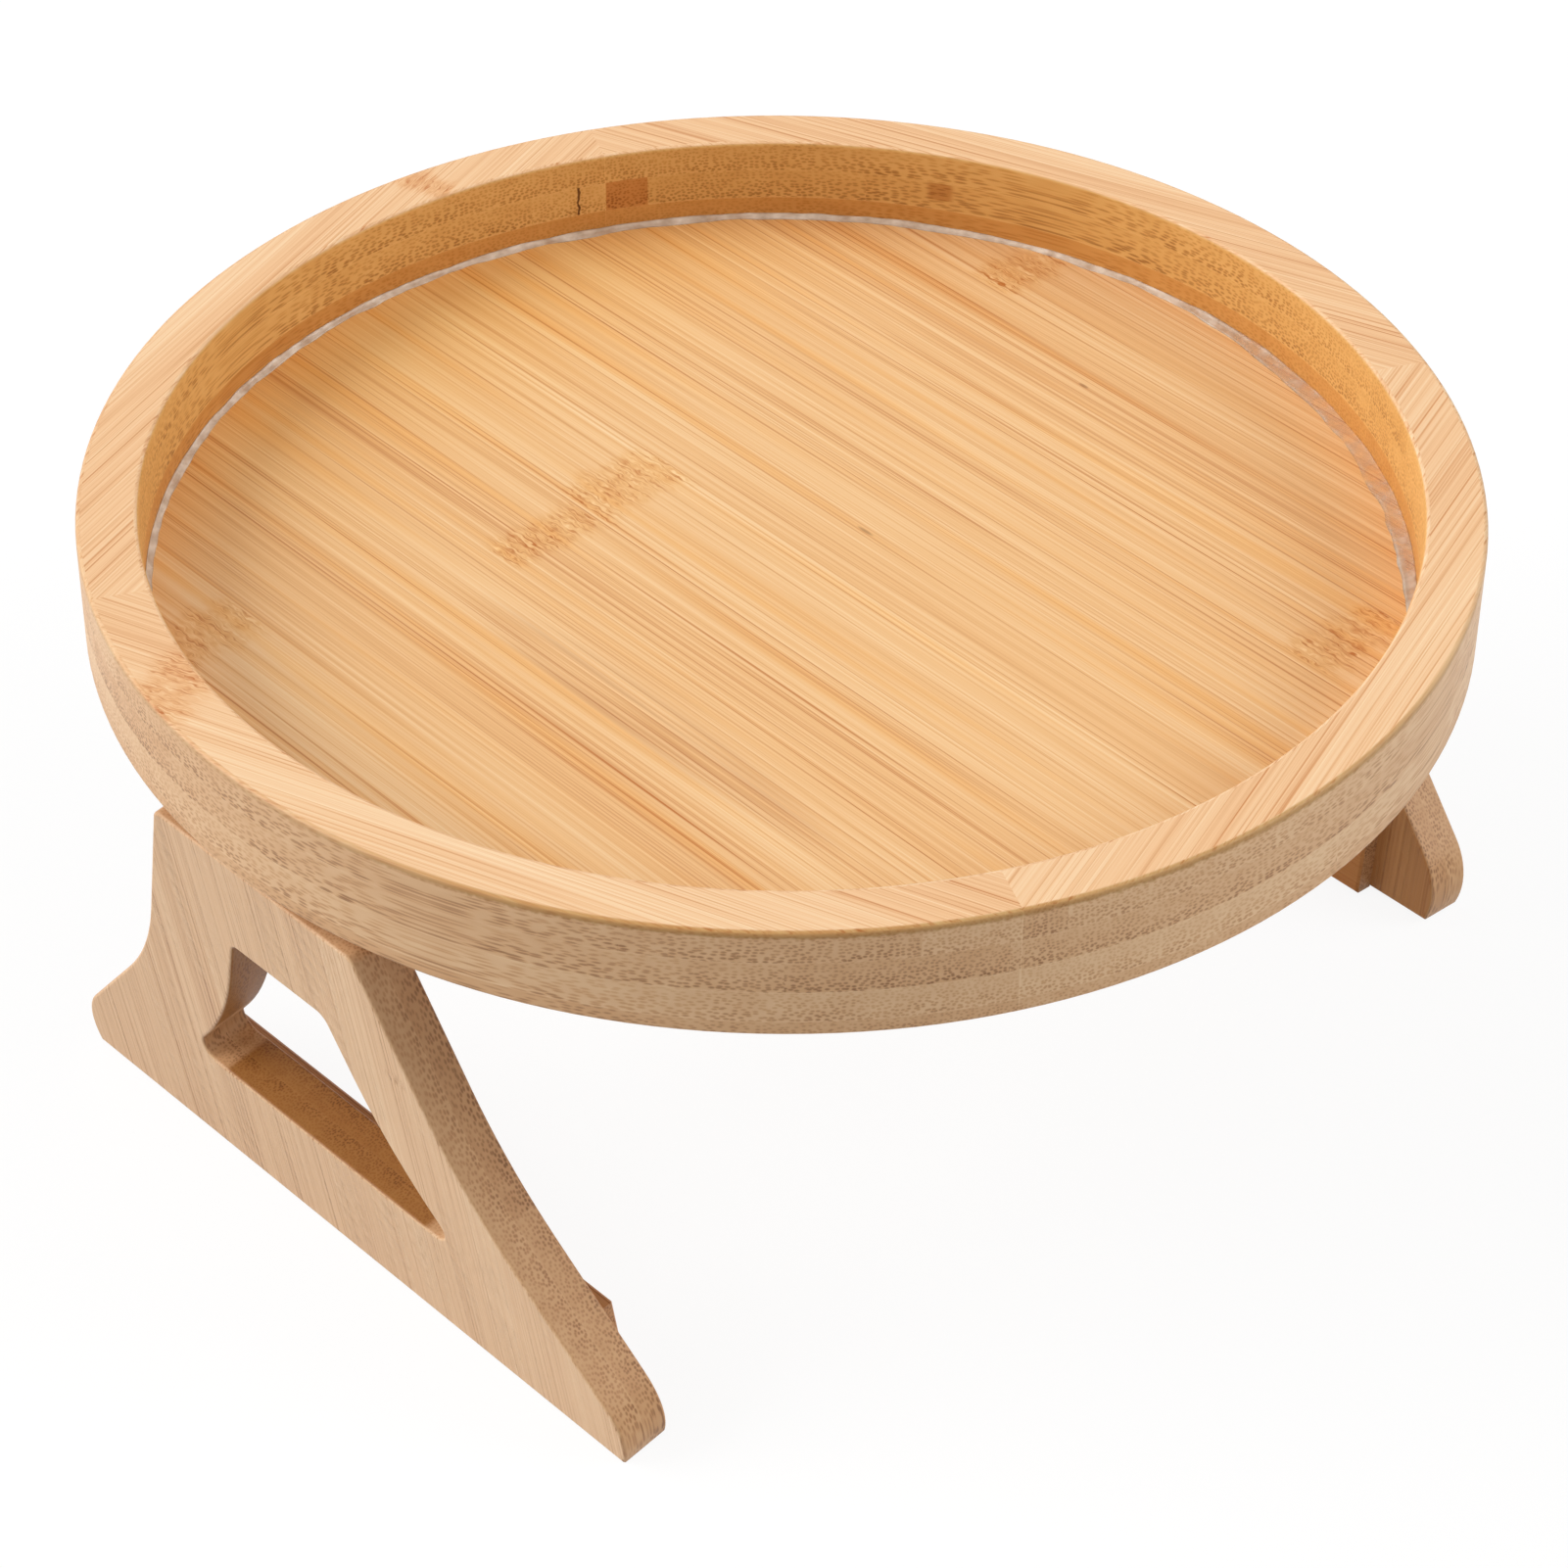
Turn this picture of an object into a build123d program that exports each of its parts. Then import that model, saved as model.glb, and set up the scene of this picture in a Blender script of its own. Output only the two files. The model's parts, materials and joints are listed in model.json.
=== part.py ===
from build123d import *
import math
import os

# Round bamboo tray on two sprung, folding legs that grip the arm of a sofa.
# Millimetres, +Z up. The origin lies below the middle of the tray, on the surface that the feet
# stand on. +X runs through the right leg, and both hinge pins lie along Y.

# Rim: a ring of mitred board segments
rim_radius = 125.0
rim_wall = 11.0
rim_height = 21.6
rim_segment_count = 4
rim_joint_angle = 64.5
rim_edge_round = 0.8

# Floor: a round panel let into a rebate in the underside of the rim, with a bead of glue above it
floor_thickness = 4.6
rebate_width = 4.0
floor_fit = 0.1
bead_width = 2.1
bead_height = 1.3
bead_fit = 0.05

# Leg panels: flared plates, each with a hole between its flanks
leg_height = 95.0
leg_thickness = 10.0
leg_top_width = 53.0
leg_flank_angle = 20.0
leg_waist_radius = 88.0
leg_flare_angle = 40.5
leg_flare_length = 27.7
leg_foot_radius = 14.0
leg_foot_rise = 5.0
leg_top_round = 2.5
leg_edge_round = 0.6
leg_setback = 3.9
leg_top_gap = 1.0
hole_top_drop = 24.3
hole_foot_band = 26.5
hole_flank_band = 21.85
hole_flank_drop = 3.0
hole_top_round = 2.5
hole_toe_round = 3.0

# How far each leg is tucked in from upright as it stands
right_rest_angle = 4.5
left_rest_angle = 9.5

# Grip strips: laths along the inner face of each foot
strip_length = 121.0
strip_height = 20.0
strip_thickness = 4.0
strip_edge_bevel = 0.5

# Hinge rails: battens under the floor
rail_length = 84.0
rail_width = 17.0
rail_thickness = 6.0
rail_leg_gap = 1.2
rail_edge_bevel = 1.0

# Spring hinges
barrel_radius = 3.25
barrel_clearance = 0.3
leaf_thickness = 1.0
leaf_length = 44.0
leaf_reach = 15.0
leaf_corner_round = 1.5
leaf_notch_gap = 0.6
middle_barrel_length = 19.0
knuckle_gap = 0.25
pin_radius = 1.0
pin_head_radius = 1.9
pin_head_height = 0.8
bush_seat_fit = 0.03
bush_running_fit = 0.06
bush_nose_length = 2.5
spring_wire_radius = 0.4
spring_radius = 1.6
spring_wire_sides = 8
spring_turns = 5
spring_end_gap = 0.3
spring_tang_length = 2.3
spring_tang_fit = 0.05

# Wood screws through the leaves
screw_radius = 1.25
screw_length = 8.0
screw_head_radius = 2.2
screw_head_height = 0.9
screw_tip_length = 2.0
screw_fit = 0.05
outer_screw_along = 17.0
outer_screw_away = 7.2
inner_screw_along = 6.5
inner_screw_away = 11.2

# Places worked out from the sizes above
full_turn = 360.0
half_turn = 180.0
right_angle = 90.0
rim_inner_radius = rim_radius - rim_wall
leg_inner_face = rim_radius - leg_setback - leg_thickness
leaf_back = barrel_radius + barrel_clearance
barrel_bore = barrel_radius - leaf_thickness
pin_x = leg_inner_face - leaf_back
pin_drop = rail_thickness + leaf_back
pin_below_leg_top = pin_drop - leg_top_gap


def standing_depth(rest_angle):
    """How far the lowest point of a tucked leg lies below its hinge pin."""
    tuck = math.radians(rest_angle)
    out = leaf_back + leg_thickness - leg_edge_round
    down = leg_height - pin_below_leg_top - leg_edge_round
    return out * math.sin(tuck) + down * math.cos(tuck) + leg_edge_round


pin_z = max(standing_depth(right_rest_angle), standing_depth(left_rest_angle))
tray_bottom = pin_z + pin_drop
floor_top = tray_bottom + floor_thickness
rim_top = tray_bottom + rim_height
rail_bottom = tray_bottom - rail_thickness
leg_top = tray_bottom - leg_top_gap
leg_bottom = leg_top - leg_height
hinge_axis = Axis((pin_x, 0, pin_z), (0, 1, 0))


def along_y(start):
    """Plane across the Y axis, for sections that run along it."""
    return Plane(origin=(0, start, 0), x_dir=(1, 0, 0), z_dir=(0, 1, 0))


def bar_along_y(radius, start, end):
    return extrude(along_y(start) * Circle(radius), end - start)


def with_holes(shape, holes):
    for hole in holes:
        shape -= hole
    return shape


# Rim, floor and glue bead


def rim_section():
    """Upright section of the rim, with the rebate that holds the floor."""
    rebate_radius = rim_inner_radius + rebate_width
    outline = Polyline(
        (rebate_radius, tray_bottom),
        (rim_radius, tray_bottom),
        (rim_radius, rim_top),
        (rim_inner_radius, rim_top),
        (rim_inner_radius, floor_top),
        (rebate_radius, floor_top),
        close=True,
    )
    face = make_face(outline)
    corners = [
        corner
        for corner in face.vertices()
        if math.isclose(corner.Y, rim_top) or math.isclose(corner.X, rim_radius)
    ]
    return Plane.XZ * fillet(corners, rim_edge_round)


def rim_segments():
    """Arcs of rim that meet face to face at their mitres."""
    arc = full_turn / rim_segment_count
    first = revolve(rim_section(), Axis.Z, arc)
    return [first.rotate(Axis.Z, rim_joint_angle + turn * arc) for turn in range(rim_segment_count)]


def tray_floor(pilots):
    radius = rim_inner_radius + rebate_width - floor_fit
    panel = Cylinder(radius, floor_thickness, align=(Align.CENTER, Align.CENTER, Align.MIN))
    return with_holes(Pos(0, 0, tray_bottom) * panel, pilots)


def glue_bead():
    """Ring of glue with a hollow face, in the corner between floor and rim."""
    outside = rim_inner_radius - bead_fit
    belly_share = 0.38
    section = Polyline(
        (outside, floor_top),
        (outside, floor_top + bead_height),
        (outside - bead_width * belly_share, floor_top + bead_height * belly_share),
        (outside - bead_width, floor_top),
        close=True,
    )
    return revolve(Plane.XZ * make_face(section), Axis.Z)


# Leg panel


def rounded_corners(face, height, radius):
    """Face with the two outermost of its corners at one height rounded."""
    level = [vertex for vertex in face.vertices() if math.isclose(vertex.Y, height)]
    level.sort(key=lambda vertex: vertex.X)
    return fillet([level[0], level[-1]], radius)


def leg_outline():
    """Flared outline in leg coordinates: X across the leg, Y up."""
    lean = math.radians(leg_flank_angle)
    flare = math.radians(leg_flare_angle)
    foot_middle_y = leg_bottom + leg_foot_rise
    foot_start_y = foot_middle_y + leg_foot_radius * math.sin(flare)
    flare_start_y = foot_start_y + leg_flare_length * math.cos(flare)
    flank_end_y = flare_start_y + leg_waist_radius * (math.sin(flare) - math.sin(lean))
    corner = (leg_top_width / 2, leg_top)
    flank_end = (corner[0] + (leg_top - flank_end_y) * math.tan(lean), flank_end_y)
    flare_start_x = flank_end[0] + leg_waist_radius * (math.cos(lean) - math.cos(flare))
    flare_start = (flare_start_x, flare_start_y)
    foot_start = (flare_start_x + leg_flare_length * math.sin(flare), foot_start_y)
    foot_middle_x = foot_start[0] - leg_foot_radius * math.cos(flare)
    undercut = math.asin(leg_foot_rise / leg_foot_radius)
    toe = (foot_middle_x + leg_foot_radius * math.cos(undercut), leg_bottom)
    half = [
        Line((0, leg_top), corner),
        Line(corner, flank_end),
        TangentArc(flank_end, flare_start, tangent=(math.sin(lean), -math.cos(lean))),
        Line(flare_start, foot_start),
        TangentArc(foot_start, toe, tangent=(math.sin(flare), -math.cos(flare))),
        Line(toe, (0, leg_bottom)),
    ]
    face = make_face(Curve() + half + [mirror(edge, Plane.YZ) for edge in half])
    return rounded_corners(face, leg_top, leg_top_round)


def hole_outline(outline):
    """Hole whose sides are the leg's flanks moved inwards and a little down."""
    top = leg_top - hole_top_drop
    bottom = leg_bottom + hole_foot_band
    left = Pos(-hole_flank_band, -hole_flank_drop) * outline
    right = Pos(hole_flank_band, -hole_flank_drop) * outline
    level = Rectangle(leg_height + leg_height, top - bottom, align=(Align.CENTER, Align.MIN))
    face = (left & right & Pos(0, bottom) * level).faces()[0]
    face = rounded_corners(face, top, hole_top_round)
    return rounded_corners(face, bottom, hole_toe_round)


def leg_panel(pilots):
    """Upright leg panel, with its inner face against the hinge leaf."""
    inner_plane = Plane(origin=(leg_inner_face, 0, 0), x_dir=(0, 1, 0), z_dir=(1, 0, 0))
    outline = leg_outline()
    plate = extrude(inner_plane * outline, leg_thickness)
    plate -= extrude(inner_plane * hole_outline(outline), leg_thickness)
    outer_face = leg_inner_face + leg_thickness
    face_edges = [
        edge
        for edge in plate.edges()
        if math.isclose(edge.center().X, leg_inner_face) or math.isclose(edge.center().X, outer_face)
    ]
    return with_holes(fillet(face_edges, leg_edge_round), pilots)


def grip_strip():
    """Lath on the inner face of the foot, flush with its bottom edge."""
    size = (strip_thickness, strip_length, strip_height)
    lath = Box(*size, align=(Align.MAX, Align.CENTER, Align.MIN))
    lath = Pos(leg_inner_face, 0, leg_bottom) * lath
    inner = lath.faces().sort_by(Axis.X)[0]
    return chamfer(inner.edges(), strip_edge_bevel)


# Hinge rail


def hinge_rail(pilots):
    outer_side = leg_inner_face - rail_leg_gap
    size = (rail_width, rail_length, rail_thickness)
    rail = Box(*size, align=(Align.MAX, Align.CENTER, Align.MIN))
    rail = Pos(outer_side, 0, rail_bottom) * rail
    underside = rail.faces().sort_by(Axis.Z)[0]
    return with_holes(chamfer(underside.edges(), rail_edge_bevel), pilots)


# Spring hinge, drawn round its own pin: X runs from the pin along the leaf, Y along the pin,
# and Z from the pin to the wood that the leaf is screwed to


def barrel_piece(start, end):
    """Rolled barrel with the tab that joins it to its leaf."""
    length = end - start
    tab_size = (barrel_radius + leaf_notch_gap, length, leaf_thickness)
    tab = Box(*tab_size, align=(Align.MIN, Align.MIN, Align.MAX))
    barrel = bar_along_y(barrel_radius, start, end) + Pos(0, start, leaf_back) * tab
    return barrel - bar_along_y(barrel_bore, start, end)


def leaf_plate():
    plate_start = barrel_radius + leaf_notch_gap
    size = (leaf_reach - plate_start, leaf_length, leaf_thickness)
    plate = Box(*size, align=(Align.MIN, Align.CENTER, Align.MAX))
    plate = Pos(plate_start, 0, leaf_back) * plate
    far_side = plate.faces().sort_by(Axis.X)[-1]
    return fillet(far_side.edges().filter_by(Axis.Z), leaf_corner_round)


def at_screws(shape):
    """A shape at the four screws of a leaf, starting from its open side."""
    start = leaf_back - leaf_thickness
    places = [
        (outer_screw_away, outer_screw_along),
        (outer_screw_away, -outer_screw_along),
        (inner_screw_away, inner_screw_along),
        (inner_screw_away, -inner_screw_along),
    ]
    return [Pos(away, along, start) * shape for away, along in places]


def leaf_screws():
    """The four countersunk screws of a leaf."""
    profile = Polyline(
        (0, 0),
        (screw_head_radius, 0),
        (screw_radius, screw_head_height),
        (screw_radius, screw_length - screw_tip_length),
        (0, screw_length),
        close=True,
    )
    return at_screws(revolve(Plane.XZ * make_face(profile), Axis.Z))


def leaf_holes():
    """Countersunk holes for the screws, through the leaf alone."""
    head = screw_head_radius + screw_fit
    shank = screw_radius + screw_fit
    upright = (Align.CENTER, Align.CENTER, Align.MIN)
    sink = Cone(head, shank, screw_head_height, align=upright)
    return at_screws(sink + Cylinder(shank, leaf_thickness, align=upright))


def screw_pilots():
    """Holes in the wood behind a leaf for its screws."""
    depth = screw_length + screw_fit
    pilot = Cylinder(screw_radius + screw_fit, depth, align=(Align.CENTER, Align.CENTER, Align.MIN))
    return at_screws(pilot)


def middle_leaf():
    """Leaf with the middle barrel, which has a hole for the fixed tang of the spring."""
    reach = middle_barrel_length / 2
    leaf = leaf_plate() + barrel_piece(-reach, reach)
    place, direction = spring_point(0)
    hole = Cylinder(
        spring_wire_radius + spring_tang_fit,
        spring_tang_length + barrel_radius,
        align=(Align.CENTER, Align.CENTER, Align.MIN),
    )
    leaf -= Plane(origin=place, z_dir=direction * -1) * hole
    return with_holes(leaf, leaf_holes())


def forked_leaf():
    """Leaf with the two end knuckles."""
    start = middle_barrel_length / 2 + knuckle_gap
    end = leaf_length / 2
    leaf = leaf_plate() + barrel_piece(start, end) + barrel_piece(-end, -start)
    return with_holes(leaf, leaf_holes())


def end_bushes():
    """Stepped bush in each end knuckle, with a nose that runs in the middle barrel."""
    seam = middle_barrel_length / 2
    nose_start = seam - bush_nose_length
    shoulder = seam + knuckle_gap
    end = leaf_length / 2
    bush = bar_along_y(barrel_bore - bush_running_fit, nose_start, shoulder)
    bush += bar_along_y(barrel_bore - bush_seat_fit, shoulder, end)
    bush -= bar_along_y(pin_radius + bush_seat_fit, nose_start, end)
    return [bush, bush.rotate(Axis.Z, half_turn)]


def hinge_pin():
    """Pin with a domed head riveted over each bush."""
    end = leaf_length / 2
    tip = end + pin_head_height
    half = [
        Line((0, 0), (0, tip)),
        TangentArc((0, tip), (pin_head_radius, end), tangent=(1, 0)),
        Line((pin_head_radius, end), (pin_radius, end)),
        Line((pin_radius, end), (pin_radius, 0)),
    ]
    section = make_face(Curve() + half + [mirror(edge, Plane.XZ) for edge in half])
    return revolve(section, Axis.Y)


def spring_pitch():
    taken = bush_nose_length + spring_end_gap + spring_wire_radius
    return (middle_barrel_length - 2 * taken) / spring_turns


def spring_point(turns):
    """Place and direction on the helix of the spring, counted from its fixed end."""
    pitch = spring_pitch()
    angle = math.radians(full_turn * turns)
    run = math.radians(full_turn) * spring_radius
    along = pitch * (turns - spring_turns / 2)
    place = Vector(spring_radius * math.cos(angle), along, spring_radius * math.sin(angle))
    direction = Vector(-run * math.sin(angle), pitch, run * math.cos(angle))
    return place, direction.normalized()


def biarc(start, start_direction, end, end_direction):
    """Two arcs that join one point and direction to the next without a corner."""
    chord = end - start
    both = start_direction + end_direction
    along = chord.dot(both)
    spread = 2 * (1 - start_direction.dot(end_direction))
    reach = (math.sqrt(along * along + spread * chord.dot(chord)) - along) / spread
    middle = (start + start_direction * reach + end - end_direction * reach) * 0.5
    first = Edge.make_tangent_arc(start, start_direction, middle)
    second = Edge.make_tangent_arc(middle, first % 1, end)
    return [first, second]


def barrel_spring():
    """Torsion spring round the pin, with a straight tang in the wall of the middle barrel."""
    steps_per_turn = 2
    first_place, first_direction = spring_point(0)
    tang_end = first_place - first_direction * spring_tang_length
    edges = [Edge.make_line(tang_end, first_place)]
    for step in range(spring_turns * steps_per_turn):
        here = spring_point(step / steps_per_turn)
        there = spring_point((step + 1) / steps_per_turn)
        edges += biarc(*here, *there)
    wire = RegularPolygon(spring_wire_radius, spring_wire_sides)
    section = Plane(origin=tang_end, z_dir=first_direction) * wire
    least_gap = spring_pitch() - 2 * spring_wire_radius
    print("least gap between turns of the spring:", round(least_gap, 2))
    return sweep(section, Wire(edges))


# Hinge drawings turned to the rail and to the upright leg


def on_rail(shapes):
    """From hinge drawing to the rail, with the leaf reaching inwards."""
    return [Pos(pin_x, 0, pin_z) * shape.rotate(Axis.Z, half_turn) for shape in shapes]


def on_leg(shapes):
    """From hinge drawing to the upright leg, with the leaf reaching down."""
    return [Pos(pin_x, 0, pin_z) * shape.rotate(Axis.Y, right_angle) for shape in shapes]


def tray_side(side):
    """Pieces of one hinge that stay with the tray."""
    return {
        side + "_hinge_rail": hinge_rail(on_rail(screw_pilots())),
        side + "_hinge_tray_leaf": on_rail([middle_leaf()])[0],
        side + "_tray_leaf_screws": Compound(on_rail(leaf_screws())),
        side + "_hinge_spring": on_rail([barrel_spring()])[0],
    }


def leg_side(side):
    """Pieces that swing with one leg, drawn with the leg upright."""
    return {
        side + "_leg_panel": leg_panel(on_leg(screw_pilots())),
        side + "_grip_strip": grip_strip(),
        side + "_hinge_leg_leaf": on_leg([forked_leaf()])[0],
        side + "_leg_leaf_screws": Compound(on_leg(leaf_screws())),
        side + "_hinge_bushes": Compound(on_leg(end_bushes())),
        side + "_hinge_pin": on_leg([hinge_pin()])[0],
    }


def one_side(side, rest_angle, turn):
    """Everything at one leg, tucked in by its rest angle and turned to its side of the tray."""
    nodes = {node: shape.rotate(Axis.Z, turn) for node, shape in tray_side(side).items()}
    for node, shape in leg_side(side).items():
        nodes[node] = shape.rotate(hinge_axis, rest_angle).rotate(Axis.Z, turn)
    return nodes


def all_nodes():
    nodes = {}
    for number, segment in enumerate(rim_segments(), start=1):
        nodes["rim_segment_" + str(number)] = segment
    floor_pilots = on_rail(screw_pilots())
    floor_pilots += [pilot.rotate(Axis.Z, half_turn) for pilot in floor_pilots]
    nodes["tray_floor"] = tray_floor(floor_pilots)
    nodes["glue_bead"] = glue_bead()
    nodes.update(one_side("right", right_rest_angle, 0))
    nodes.update(one_side("left", left_rest_angle, half_turn))
    return nodes


os.makedirs("parts", exist_ok=True)
for node, shape in all_nodes().items():
    shape.label = node
    export_step(shape, "parts/" + node + ".step")
for name, height in {"pin": pin_z, "floor top": floor_top, "rim top": rim_top}.items():
    print(name, "height:", round(height, 3))
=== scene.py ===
import json
import math

import bmesh
import bpy
from mathutils import Matrix, Vector, noise


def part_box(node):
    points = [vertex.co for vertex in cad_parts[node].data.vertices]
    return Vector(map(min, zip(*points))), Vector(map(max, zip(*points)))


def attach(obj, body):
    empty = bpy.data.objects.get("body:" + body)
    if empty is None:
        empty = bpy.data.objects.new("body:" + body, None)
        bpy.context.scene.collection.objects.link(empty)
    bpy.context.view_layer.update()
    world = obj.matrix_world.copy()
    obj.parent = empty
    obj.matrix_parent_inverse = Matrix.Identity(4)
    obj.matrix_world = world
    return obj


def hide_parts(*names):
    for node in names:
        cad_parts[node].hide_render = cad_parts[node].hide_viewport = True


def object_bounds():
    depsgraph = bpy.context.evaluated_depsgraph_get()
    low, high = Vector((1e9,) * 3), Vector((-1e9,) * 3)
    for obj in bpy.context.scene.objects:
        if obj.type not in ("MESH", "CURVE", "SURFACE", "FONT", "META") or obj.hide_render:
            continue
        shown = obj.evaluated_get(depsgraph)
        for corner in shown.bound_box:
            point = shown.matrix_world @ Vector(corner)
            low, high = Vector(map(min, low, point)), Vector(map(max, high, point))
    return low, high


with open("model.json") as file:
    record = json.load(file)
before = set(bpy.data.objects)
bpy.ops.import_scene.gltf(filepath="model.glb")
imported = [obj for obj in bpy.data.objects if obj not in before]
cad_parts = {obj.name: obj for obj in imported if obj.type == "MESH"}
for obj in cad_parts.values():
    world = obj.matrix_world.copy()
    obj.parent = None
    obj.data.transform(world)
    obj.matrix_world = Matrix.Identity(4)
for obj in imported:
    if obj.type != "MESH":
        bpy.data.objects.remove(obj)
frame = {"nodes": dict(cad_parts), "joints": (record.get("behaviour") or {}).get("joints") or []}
cad_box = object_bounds()

# Millimetres in the scene's metres
mm = 0.001

# The tray's own sizes, in millimetres, read from the frame
rim_high = Vector(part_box("rim_segment_1")[1]) / mm
bead_low, bead_high = (Vector(corner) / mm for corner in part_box("glue_bead"))
rim_top = rim_high.z
rim_radius = round(cad_box[1].x / mm, 1)
floor_top = bead_low.z
bead_radius = bead_high.x

# First mitre of the rim, in degrees from the line through the legs, and the turn to the next one
mitre_angle = 64.5
mitre_turn = 90.0

# How far each leg is tucked in from upright, in degrees, and its outer face's distance from the pin
tucks = {"right": 4.5, "left": 9.5}
leg_outer_face = 13.55

up = Vector((0, 0, 1))
along_hinges = Vector((0, 1, 0))


# Colours


def linear(level):
    """One channel of a colour as it is written, 0 to 255, in the renderer's linear units."""
    share = level / 255
    return share / 12.92 if share <= 0.04045 else ((share + 0.055) / 1.055) ** 2.4


def colour(red, green, blue):
    return (linear(red), linear(green), linear(blue), 1.0)


def grey(level):
    """Grey of a level from 0 to 1, in linear units."""
    return (level, level, level, 1.0)


def shades(*colours):
    """Colours from dark to light, with even steps between them."""
    return [(place / (len(colours) - 1), colour(*levels)) for place, levels in enumerate(colours)]


honey = shades((190, 116, 56), (233, 184, 128), (249, 216, 170))
pale_honey = shades((198, 126, 68), (237, 191, 144), (251, 223, 184))
honey_cut = shades((122, 78, 44), (208, 162, 118), (234, 201, 160))
# Cut faces of the rim's inner wall: darker and more orange, as painted shade and bounce light
shaded_inner_cut = shades((138, 86, 38), (207, 155, 86), (234, 189, 120))
peach = shades((170, 116, 74), (219, 178, 137), (238, 206, 168))
peach_cut = shades((116, 74, 44), (196, 148, 104), (224, 184, 140))


# Short names for the nodes that the materials and the sky are built from


class Nodes:
    """A node tree, filled by short calls."""

    def __init__(self, tree):
        self.tree = tree
        self.tree.nodes.clear()

    def node(self, kind, inputs=None, out=0, **settings):
        made = self.tree.nodes.new(kind)
        for name, value in settings.items():
            setattr(made, name, value)
        for key, value in (inputs or {}).items():
            if isinstance(value, bpy.types.NodeSocket):
                self.tree.links.new(value, made.inputs[key])
            else:
                made.inputs[key].default_value = value
        return made.outputs[out]

    def calc(self, operation, first, second=0.0, third=0.0):
        return self.node("ShaderNodeMath", {0: first, 1: second, 2: third}, operation=operation)

    def seen_directly(self):
        """1 for the camera's own rays, and for those in mirrors and through glass."""
        path = self.tree.nodes.new("ShaderNodeLightPath").outputs
        either = self.calc("MAXIMUM", path["Is Camera Ray"], path["Is Glossy Ray"])
        return self.calc("MAXIMUM", either, path["Is Transmission Ray"])

    def close(self, kind, shader):
        """Links a shader to an output of the kind named."""
        output = self.tree.nodes.new(kind)
        self.tree.links.new(shader, output.inputs["Surface"])


class Recipe(Nodes):
    """A procedural material, measured in millimetres on the object itself."""

    def __init__(self, name):
        self.material = bpy.data.materials.new(name)
        self.material.use_nodes = True
        super().__init__(self.material.node_tree)
        metres = self.node("ShaderNodeTexCoord", out="Object")
        self.place = self.vector("DIVIDE", metres, (mm, mm, mm))
        self.normal = self.node("ShaderNodeTexCoord", out="Normal")

    def vector(self, operation, first, second):
        return self.node("ShaderNodeVectorMath", {0: first, 1: second}, operation=operation)

    def dot(self, first, second):
        inputs = {0: first, 1: second}
        return self.node("ShaderNodeVectorMath", inputs, out="Value", operation="DOT_PRODUCT")

    def length(self, vector):
        return self.node("ShaderNodeVectorMath", {0: vector}, out="Value", operation="LENGTH")

    def joined(self, x, y, z):
        return self.node("ShaderNodeCombineXYZ", {0: x, 1: y, 2: z})

    def both(self, first, second):
        """Mask of where two masks overlap."""
        return self.calc("MULTIPLY", first, second)

    def total(self, *parts):
        """Sum of values, or of values with a weight each."""
        result = 0.0
        for part in parts:
            value, weight = part if isinstance(part, tuple) else (part, 1.0)
            result = self.calc("MULTIPLY_ADD", value, weight, result)
        return result

    def swing(self, spot, size, detail=1.0):
        """Noise of a given size in millimetres, from about -1 to 1."""
        spot = self.vector("DIVIDE", spot, size)
        inputs = {"Vector": spot, "Scale": 1.0, "Detail": detail, "Distortion": 0.0}
        value = self.node("ShaderNodeTexNoise", inputs, out="Fac")
        return self.calc("MULTIPLY_ADD", value, 4.0, -2.0)

    def chance(self, *numbers):
        """A number from 0 to 1 that hangs only on the numbers given."""
        spot = self.joined(*numbers)
        return self.node("ShaderNodeTexWhiteNoise", {"Vector": spot}, noise_dimensions="3D")

    def step(self, value, start, end, low=0.0, high=1.0):
        """Smooth step of a value from one level to another."""
        inputs = {"Value": value, "From Min": start, "From Max": end, "To Min": low, "To Max": high}
        return self.node("ShaderNodeMapRange", inputs, interpolation_type="SMOOTHSTEP")

    def near(self, value, centre, reach, softness):
        """1 within a reach of a centre, falling to 0 over a softness."""
        distance = self.calc("ABSOLUTE", self.calc("SUBTRACT", value, centre))
        return self.step(distance, reach, reach + softness, 1.0, 0.0)

    def patches(self, spot, size, limits):
        """Mask made of noise of a size, between limits."""
        return self.step(self.swing(spot, size), *limits)

    def blend(self, factor, first, second, how="MIX"):
        inputs = {0: factor, 6: first, 7: second}
        return self.node("ShaderNodeMix", inputs, out=2, data_type="RGBA", blend_type=how)

    def between(self, factor, first, second):
        """Value on the way from the first to the second."""
        return self.node("ShaderNodeMix", {0: factor, 2: first, 3: second}, data_type="FLOAT")

    def ramp(self, value, stops):
        made = self.tree.nodes.new("ShaderNodeValToRGB")
        elements = made.color_ramp.elements
        while len(elements) < len(stops):
            elements.new(0.5)
        for element, (position, shade) in zip(elements, stops):
            element.position = position
            element.color = shade
        self.tree.links.new(value, made.inputs[0])
        return made.outputs[0]

    def finish(self, base, roughness, bumps, depth, **constants):
        """Closes the material with a principled shader, with bumps of a depth in millimetres."""
        inputs = {"Base Color": base, "Roughness": roughness}
        for name, value in constants.items():
            inputs[name.replace("_", " ")] = value
        heights = {"Height": bumps, "Distance": depth * mm, "Strength": 1.0}
        inputs["Normal"] = self.node("ShaderNodeBump", heights)
        return self.surface(self.node("ShaderNodeBsdfPrincipled", inputs))

    def surface(self, shader):
        self.close("ShaderNodeOutputMaterial", shader)
        return self.material


# Bamboo board, in millimetres: sizes of features run along the grain, across it and into the board

# Limits are the levels where a mask starts and ends, with its values there unless they are 0 and 1
edge_limits = (0.85, 0.45)
upper_limits = (0.2, 0.8)
seam_half_width = 0.14
glue_line_half_width = 0.12
strip_shift = 700.0
single_ply = 60.0

# The number of a ply is whole, so the mask of one ply stays clear of the next
ply_reach = 0.4
ply_softness = 0.1

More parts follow.
